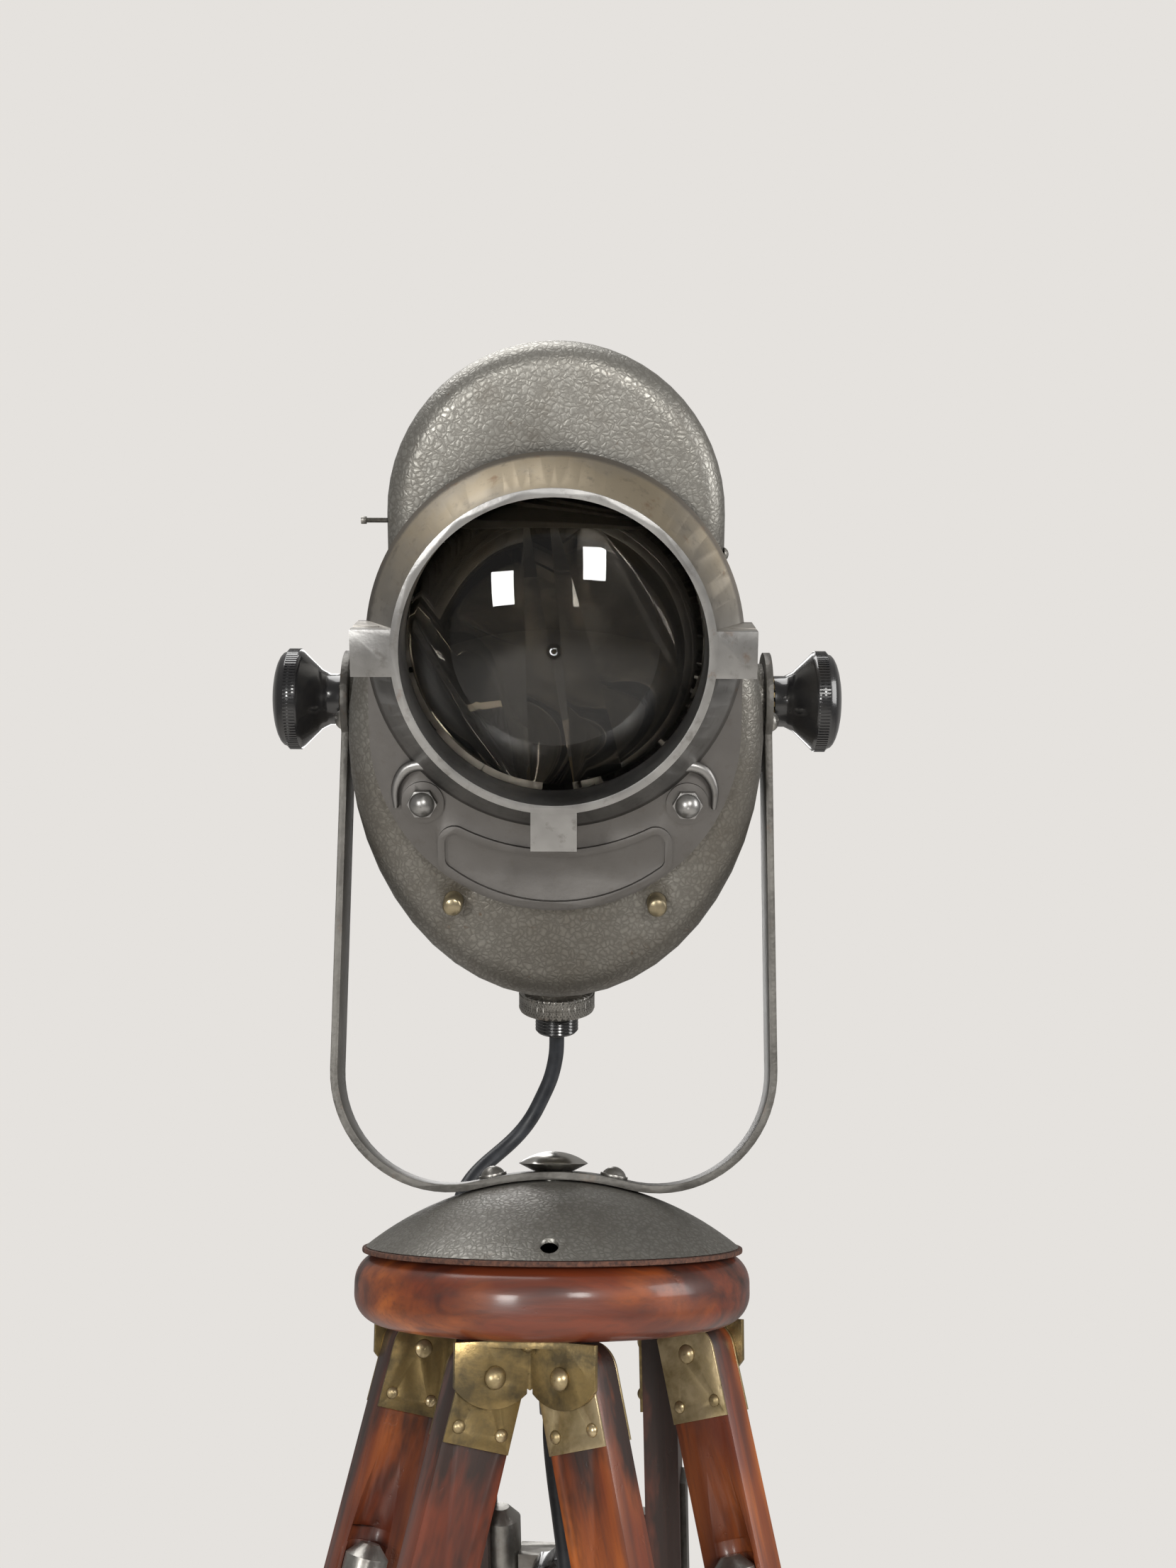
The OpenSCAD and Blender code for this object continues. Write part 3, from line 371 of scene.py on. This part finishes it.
# Painted shade: each leg's wood (left, right, rear) is darkened by its own amount, the rear leg most and the
# right leg a little lightened; the legs' tops darken from 0.925 m up, under the head disc.
LEG_SHADE, SHADED_ABOVE = (0.04, -0.02, 0.14), 0.925
LEG_WOOD = [varnished_wood(f"wood_{name}", leg_matrix(i), 2, LEG_SHADE[i], SHADED_ABOVE)
            for i, name in enumerate(LEGS)]

BODY = {node: body for body, nodes in frame["record"]["behaviour"]["bodies"].items() for node in nodes}


# ---- pieces ----
def place_piece(obj, body, material=None):
    if obj.name not in bpy.context.scene.collection.objects:
        bpy.context.scene.collection.objects.link(obj)
    if material is not None:
        obj.data.materials.clear()
        obj.data.materials.append(material)
    if body:
        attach(obj, body)
    return obj


def smooth_by_angle(mesh, degrees=32):
    for polygon in mesh.polygons:
        polygon.use_smooth = True
    mesh.set_sharp_from_angle(angle=math.radians(degrees))


def soften(node, material, bevel=0.0, segments=2, angle=32):
    """A merged copy of a CAD node with its machined edges eased, which stands for the node."""
    work = bmesh.new()
    work.from_mesh(frame["nodes"][node].data)
    bmesh.ops.remove_doubles(work, verts=work.verts, dist=2e-6)
    bmesh.ops.dissolve_degenerate(work, edges=work.edges, dist=2e-6)
    if bevel:
        bmesh.ops.dissolve_limit(work, angle_limit=math.radians(0.6), verts=work.verts, edges=work.edges)
    mesh = bpy.data.meshes.new(f"{node}_finished")
    work.to_mesh(mesh)
    work.free()
    obj = bpy.data.objects.new(f"{node}_finished", mesh)
    bpy.context.scene.collection.objects.link(obj)
    if bevel:
        modifier = obj.modifiers.new("eased_edges", "BEVEL")
        modifier.width = bevel * MM
        modifier.segments = segments
        modifier.limit_method = "ANGLE"
        modifier.angle_limit = math.radians(angle + 6)
        modifier.use_clamp_overlap = True
        modifier.harden_normals = False
        mesh = bpy.data.meshes.new_from_object(obj.evaluated_get(bpy.context.evaluated_depsgraph_get()))
        obj.modifiers.clear()
        obj.data = mesh
    smooth_by_angle(obj.data, angle)
    place_piece(obj, BODY[node], material)
    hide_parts(node)
    return obj


# node: its finish, and the width of its eased edges in millimetres
FINISHED = {
    "front_casting": (CASTING, 1.0), "front_shell": (PAINT, 0.4), "rear_shell": (PAINT, 0.3),
    "hood": (PAINT, 0.4),
    "hood_hinge_pin": (WORN_STEEL, 0), "hood_catch_pin": (WORN_STEEL, 0), "lens": (LENS_GLASS, 0),
    "lens_ring": (WORN_STEEL, 0), "guide_rods": (BRASS_AGED, 0), "casting_nuts": (CASTING, 0.5),
    "gland_nut": (WORN_STEEL, 0), "gland_bush": (MOULDING, 0), "trunnion_studs": (WORN_STEEL, 0),
    "lamp_carriage": (BRASS_DULL, 0.3), "reflector": (OLD_MIRROR, 0), "lamp_holder": (CERAMIC, 0.6),
    "lamp_bulb": (BULB_GLASS, 0), "focus_knob": (MOULDING, 0.4), "tilt_knob_left": (MOULDING, 0),
    "tilt_knob_right": (MOULDING, 0), "fan_washer": (BRASS_DULL, 0), "yoke_strap": (STRAP_STEEL, 0.5),
    "yoke_screws": (WORN_STEEL, 0.2), "dome_cover": (PAINT, 0.5), "cord_grommet": (BLACK_RUBBER, 0.6),
    "pivot_bolt": (MIRROR, 0.3), "pivot_nut": (WORN_STEEL, 0.5), "leather_ring": (LEATHER, 0.5),
    "head_disc": (DISC_WOOD, 0), "hinge_brackets": (BRASS_DULL, 0.4), "bracket_screws": (BRASS_DULL, 0),
    "plug": (MOULDING, 0.5),
}
for name, (material, bevel) in FINISHED.items():
    soften(name, material, bevel)
for number, leg in enumerate(LEGS):
    wood = LEG_WOOD[number]
    # Painted light: the right leg's plates take the paler brass, a lit copy of the brass on the other legs'
    # plates.
    plate_brass = BRASS_PALE if leg == "right" else BRASS_DULL
    leg_finish = (
        ("stiles", wood, 1.2), ("plates", plate_brass, 0.25), ("rivets", BRASS_PALE, 0),
        ("ironwork", STRAP_STEEL, 0.4), ("rails", wood, 0), ("crosshead", WORN_STEEL, 0.5),
        ("clamp_knob", MOULDING, 1.5), ("foot", BLACK_RUBBER, 0.6))
    for part, material, bevel in leg_finish:
        soften(f"leg_{leg}_{part}", material, bevel)


# ---- cords ----
def smooth_route(points, steps):
    out = []
    for i in range(len(points) - 1):
        a, b, c, d = (Vector(points[max(0, min(len(points) - 1, i + j))]) for j in (-1, 0, 1, 2))
        for step in range(steps):
            t = step / steps
            out.append(0.5 * (2 * b + (c - a) * t + (2 * a - 5 * b + 4 * c - d) * t * t
                              + (3 * b - a - 3 * c + d) * t * t * t))
    return out + [Vector(points[-1])]


def tube(name, points, radius, sides, material, body):
    """A round sheath along points in millimetres, with closed ends."""
    mesh, rings = bmesh.new(), []
    side = Vector((0.31, 0.94, 0.1))
    for i, point in enumerate(points):
        heading = (points[min(i + 1, len(points) - 1)] - points[max(i - 1, 0)]).normalized()
        side = (side - heading * side.dot(heading)).normalized()
        other = heading.cross(side)
        rings.append([mesh.verts.new((point + radius * (math.cos(a) * side + math.sin(a) * other)) * MM)
                      for a in (2 * math.pi * j / sides for j in range(sides))])
    for low, high in zip(rings, rings[1:]):
        for j in range(sides):
            k = (j + 1) % sides
            mesh.faces.new((low[j], low[k], high[k], high[j]))
    mesh.faces.new(rings[0][::-1])
    mesh.faces.new(rings[-1])
    data = bpy.data.meshes.new(name)
    mesh.to_mesh(data)
    mesh.free()
    smooth_by_angle(data, 40)
    return place_piece(bpy.data.objects.new(name, data), body, material)


def bow(start, start_heading, end, end_heading, reaches, steps):
    """Points of a soft curve between two ends, each with its own heading; the start is left out."""
    a, d = Vector(start), Vector(end)
    b = a + Vector(start_heading).normalized() * reaches[0]
    c = d - Vector(end_heading).normalized() * reaches[1]
    ways = [i / steps for i in range(1, steps + 1)]
    return [a * (1 - t) ** 3 + b * 3 * t * (1 - t) ** 2 + c * 3 * t * t * (1 - t) + d * t ** 3 for t in ways]


CORD_D = 7.0
LEAD = [(0, 54.7, -147.6), (-0.4, 59, -157), (-3, 62.9, -168), (-8.5, 66.5, -180)]
lead_route = smooth_route(LEAD, 6)
lead_route += bow(LEAD[-1], lead_route[-1] - lead_route[-3], (-44, 44, -232), (0, -0.3, -1), (30, 28), 24)
lead_points = [BASE + Vector((0, 0, TILT_Z)) + p for p in lead_route]
lead = tube("lamp_lead_sheath", lead_points, CORD_D / 2, 20, CORD_SHEATH, None)
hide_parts("lamp_lead")
tuple(lead_points[3] * MM)
tuple(lead_points[-4] * MM)
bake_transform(lead)

MAINS = [(0, 0, 978), (0, 0, 966), (0, 0, 952), (2, 1, 936), (5, 2, 918), (8, 3, 898), (10, 4, 870),
         (11, 4, 820), (11, 4, 720), (10, 4, 600), (8, 4, 460), (6, 4, 320), (4, 4, 200), (1, 5, 120),
         (-6, 8, 72), (-19, 15, 34), (-40, 26, 9.5), (-67.6, 41, 3.5), (-89.3, 53.5, 3.5)]
COIL_PITCH, COIL_OUTER, LAYER_TURNS = 7.25, 48.5, 2.5
COIL_START, STEPS_A_TURN = 240, 36      # where the coil begins, in degrees, and its points
LAYER_RISES = ((2.35, 2.65), (4.85, 5.15))   # in turns
TAIL_AT, TAIL_RISE, TAIL_LIFT = 6.92, (6.61, 7.11), 12.5
PLUG_BACK, PLUG_HEADING = (-31.5, -3, 30), (0, 1, 0)
FLOOR_TURN = Matrix.Rotation(math.radians(16.3), 3, "Z")


def coil_turns():
    """Three flat layers, wound inwards, outwards and inwards again, and a rise to the plug."""
    def winding(turn):
        part = turn % (2 * LAYER_TURNS) if turn > 0 else -turn
        return COIL_OUTER - COIL_PITCH * min(part, 2 * LAYER_TURNS - part)

    def rise(turn, low, high):
        return 0.5 - 0.5 * math.cos(math.pi * min(1.0, max(0.0, (turn - low) / (high - low))))

    out = []
    for step in range(int(TAIL_AT * STEPS_A_TURN) + 1):
        turn = step / STEPS_A_TURN
        radius = sum(winding(max(0, turn + k * 0.03)) for k in range(-3, 4)) / 7
        height = CORD_D / 2 + TAIL_LIFT * rise(turn, *TAIL_RISE)
        height += sum(CORD_D * rise(turn, *limits) for limits in LAYER_RISES)
        angle = math.radians(COIL_START - 360 * turn)
        out.append(COIL + Vector((radius * math.cos(angle), radius * math.sin(angle), height)))
    return out


turns = coil_turns()
mains_points = smooth_route(MAINS + [turns[0], turns[2]], 5)[:-6]
tail_points = bow(turns[-1], turns[-1] - turns[-2], COIL + Vector(PLUG_BACK), PLUG_HEADING, (14, 20), 5)
route = [BASE + FLOOR_TURN @ p for p in mains_points + turns + tail_points]
mains = tube("mains_cord_sheath", route, CORD_D / 2, 12, CORD_SHEATH, "stand_head")
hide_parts("mains_cord", "cord_coil")
mains_length = sum((b - a).length for a, b in zip(route, route[1:])) * MM


# ---- what repeats: ridges, knurls and threads ----
def ridge_ring_tree():
    """Blocks set round a circle, each turned to face outwards; its inputs are the sizes."""
    tree = bpy.data.node_groups.new("ridge_ring", "GeometryNodeTree")
    face = tree.interface
    face.new_socket("Geometry", in_out="OUTPUT", socket_type="NodeSocketGeometry")
    ids = {}
    for name, kind in (("Count", "NodeSocketInt"), ("Radius", "NodeSocketFloat"),
                       ("Size", "NodeSocketVector"), ("Twist", "NodeSocketFloat"),
                       ("Material", "NodeSocketMaterial")):
        ids[name] = face.new_socket(name, in_out="INPUT", socket_type=kind).identifier
    made = tree.nodes
    start, end = made.new("NodeGroupInput"), made.new("NodeGroupOutput")
    ring = made.new("GeometryNodeMeshCircle")
    block = made.new("GeometryNodeMeshCube")
    place = made.new("GeometryNodeInstanceOnPoints")
    where = made.new("GeometryNodeInputPosition")
    aim = made.new("FunctionNodeAlignRotationToVector")
    aim.axis = "X"
    aim.pivot_axis = "Z"
    lean = made.new("FunctionNodeRotateRotation")
    lean.rotation_space = "LOCAL"
    twist = made.new("ShaderNodeCombineXYZ")
    real = made.new("GeometryNodeRealizeInstances")
    paint = made.new("GeometryNodeSetMaterial")
    join = tree.links.new
    join(start.outputs["Count"], ring.inputs["Vertices"])
    join(start.outputs["Radius"], ring.inputs["Radius"])
    join(start.outputs["Size"], block.inputs["Size"])
    join(start.outputs["Twist"], twist.inputs["X"])
    join(where.outputs[0], aim.inputs["Vector"])
    join(aim.outputs[0], lean.inputs["Rotation"])
    join(twist.outputs[0], lean.inputs["Rotate By"])
    join(ring.outputs[0], place.inputs["Points"])
    join(block.outputs[0], place.inputs["Instance"])
    join(lean.outputs[0], place.inputs["Rotation"])
    join(place.outputs[0], real.inputs[0])
    join(real.outputs[0], paint.inputs["Geometry"])
    join(start.outputs["Material"], paint.inputs["Material"])
    join(paint.outputs[0], end.inputs[0])
    return tree, ids


RIDGES, RIDGE_INPUTS = ridge_ring_tree()


def ridge_mesh(count, radius, size, twist, material):
    """The tree's result as a plain mesh round the Z axis, in millimetres."""
    holder = bpy.data.objects.new("ridge_holder", bpy.data.meshes.new("ridge_holder"))
    bpy.context.scene.collection.objects.link(holder)
    modifier = holder.modifiers.new("ridges", "NODES")
    modifier.node_group = RIDGES
    for name, value in (("Count", count), ("Radius", radius), ("Size", size), ("Twist", math.radians(twist)),
                        ("Material", material)):
        modifier[RIDGE_INPUTS[name]] = value
    mesh = bpy.data.meshes.new_from_object(holder.evaluated_get(bpy.context.evaluated_depsgraph_get()))
    bpy.data.objects.remove(holder)
    return mesh


def ridges(name, rings, body, material):
    """One piece from several rings; each ring is its place in millimetres and the tree's sizes."""
    work = bmesh.new()
    for matrix, count, radius, size, twist in rings:
        mesh = ridge_mesh(count, radius, size, twist, material)
        mesh.transform(Matrix.Scale(MM, 4) @ matrix)
        work.from_mesh(mesh)
        bpy.data.meshes.remove(mesh)
    data = bpy.data.meshes.new(name)
    work.to_mesh(data)
    work.free()
    return place_piece(bpy.data.objects.new(name, data), body, material)


def turned(x, y, z, axis, degrees):
    return Matrix.Translation((x, y, z)) @ Matrix.Rotation(math.radians(degrees), 4, axis)


RIB_HALF_WIDTH, RIB_HEIGHT, RIB_SIDES = 2.6, 2.2, 10


def casting_ribs():
    """Curved ribs cast on the flange, from the lens tube round each dome nut."""
    work = bmesh.new()
    for side in (-1, 1):
        spine = smooth_route([(side * 47, -59.5, -22), (side * 55, -58.6, -17.5), (side * 63, -58.0, -19.5),
                              (side * 67.5, -57.6, -27), (side * 67.5, -57.2, -36)], 5)
        last = len(spine) - 1
        rings = []
        for i, point in enumerate(spine):
            heading = (spine[min(i + 1, last)] - spine[max(i - 1, 0)]).normalized()
            across = heading.cross(Vector((0, 1, 0))).normalized()
            wide = RIB_HALF_WIDTH * min(1.0, 0.45 + 1.1 * (1 - i / last))
            angles = [2 * math.pi * j / RIB_SIDES for j in range(RIB_SIDES)]
            rings.append([work.verts.new(HEAD @ (point + across * wide * math.cos(a)
                                                 + Vector((0, -RIB_HEIGHT * math.sin(a), 0)))) for a in angles])
        for low, high in zip(rings, rings[1:]):
            for j in range(RIB_SIDES):
                k = (j + 1) % RIB_SIDES
                work.faces.new((low[j], low[k], high[k], high[j]))
        work.faces.new(rings[0])
        work.faces.new(rings[-1])
    bmesh.ops.recalc_face_normals(work, faces=work.faces)
    data = bpy.data.meshes.new("casting_ribs")
    work.to_mesh(data)
    work.free()
    data.transform(Matrix.Scale(MM, 4))
    smooth_by_angle(data, 50)
    place_piece(bpy.data.objects.new("casting_ribs", data), "head", CASTING)


casting_ribs()
# ridges: how many, their circle's radius, the size of one and its twist in degrees
KNOB_RIM = (92, 22.35, (0.9, 0.8, 5.0), 0)
NUT_RIM = (76, 17.15, (0.7, 0.7, 8.2))
for side, name in ((-1, "left"), (1, "right")):
    middle = HEAD @ turned(side * (KNOB_X + KNOB_RIM_X), 0, 0, "Y", 90)
    ridges(f"knob_{name}_knurl", [(middle, *KNOB_RIM)], f"knob_{name}", MOULDING)
gland = HEAD @ Matrix.Translation(GLAND_NUT)
ridges("gland_nut_knurl", [(gland, *NUT_RIM, 32), (gland, *NUT_RIM, -32)], "head", WORN_STEEL)


# ---- light and floor ----
def floor():
    mesh = bmesh.new()
    bmesh.ops.create_circle(mesh, cap_ends=True, segments=96, radius=3.2)
    data = bpy.data.meshes.new("floor")
    mesh.to_mesh(data)
    mesh.free()
    obj = bpy.data.objects.new("floor", data)
    bpy.context.scene.collection.objects.link(obj)
    f = Finish("pale_floor", Roughness=0.7)
    f.set("Base Color", f.mix(f.noise(3, 4).over(0.3, 0.7), (0.72, 0.7, 0.67), (0.78, 0.76, 0.73)))
    obj.data.materials.append(f.material)


def area_light(name, place, target, size, power, colour=(1, 1, 1)):
    data = bpy.data.lights.new(name, "AREA")
    data.shape = "RECTANGLE"
    data.size, data.size_y = size
    data.energy = power
    data.color = colour
    obj = bpy.data.objects.new(name, data)
    bpy.context.scene.collection.objects.link(obj)
    aim = Vector(target) - Vector(place)
    obj.matrix_world = Matrix.Translation(place) @ aim.to_track_quat("-Z", "Y").to_matrix().to_4x4()


floor()
world = bpy.data.worlds.new("studio") if not bpy.context.scene.world else bpy.context.scene.world
bpy.context.scene.world = world
world.use_nodes = True
backdrop = world.node_tree.nodes["Background"]
backdrop.inputs[0].default_value = (0.8, 0.775, 0.745, 1)
seen = world.node_tree.nodes.new("ShaderNodeLightPath")
level = world.node_tree.nodes.new("ShaderNodeMapRange")
LIGHT_FROM_ROOM, SEEN_BRIGHTNESS = 0.34, 0.98
level.inputs["To Min"].default_value = LIGHT_FROM_ROOM
level.inputs["To Max"].default_value = SEEN_BRIGHTNESS
world.node_tree.links.new(seen.outputs["Is Camera Ray"], level.inputs["Value"])
world.node_tree.links.new(level.outputs[0], backdrop.inputs[1])
HEAD_AT = tuple(metres(HEAD))
WINDOW_SIZE, SOFT_WHITE = (0.42, 0.62), (1, 0.99, 0.98)
# the two front windows stand where the lens mirrors them above its middle
area_light("window_left", (-0.959, -2.23, 1.171), HEAD_AT, WINDOW_SIZE, 24, (1, 0.99, 0.97))
area_light("window_right", (0.688, -2.324, 1.612), HEAD_AT, WINDOW_SIZE, 24, (1, 0.98, 0.95))
area_light("side_window", (2.2, -0.7, 1.7), HEAD_AT, (1.0, 1.4), 28, SOFT_WHITE)
area_light("ceiling", (-0.5, 0.2, 3.2), HEAD_AT, (1.6, 1.6), 40, SOFT_WHITE)
area_light("back_strip", (-0.2, 1.9, 2.0), HEAD_AT, (0.35, 2.2), 9, SOFT_WHITE)
bpy.context.scene.view_settings.view_transform = "Standard"

tuple(route[0] * MM)
[tuple(p * MM) for p in route]
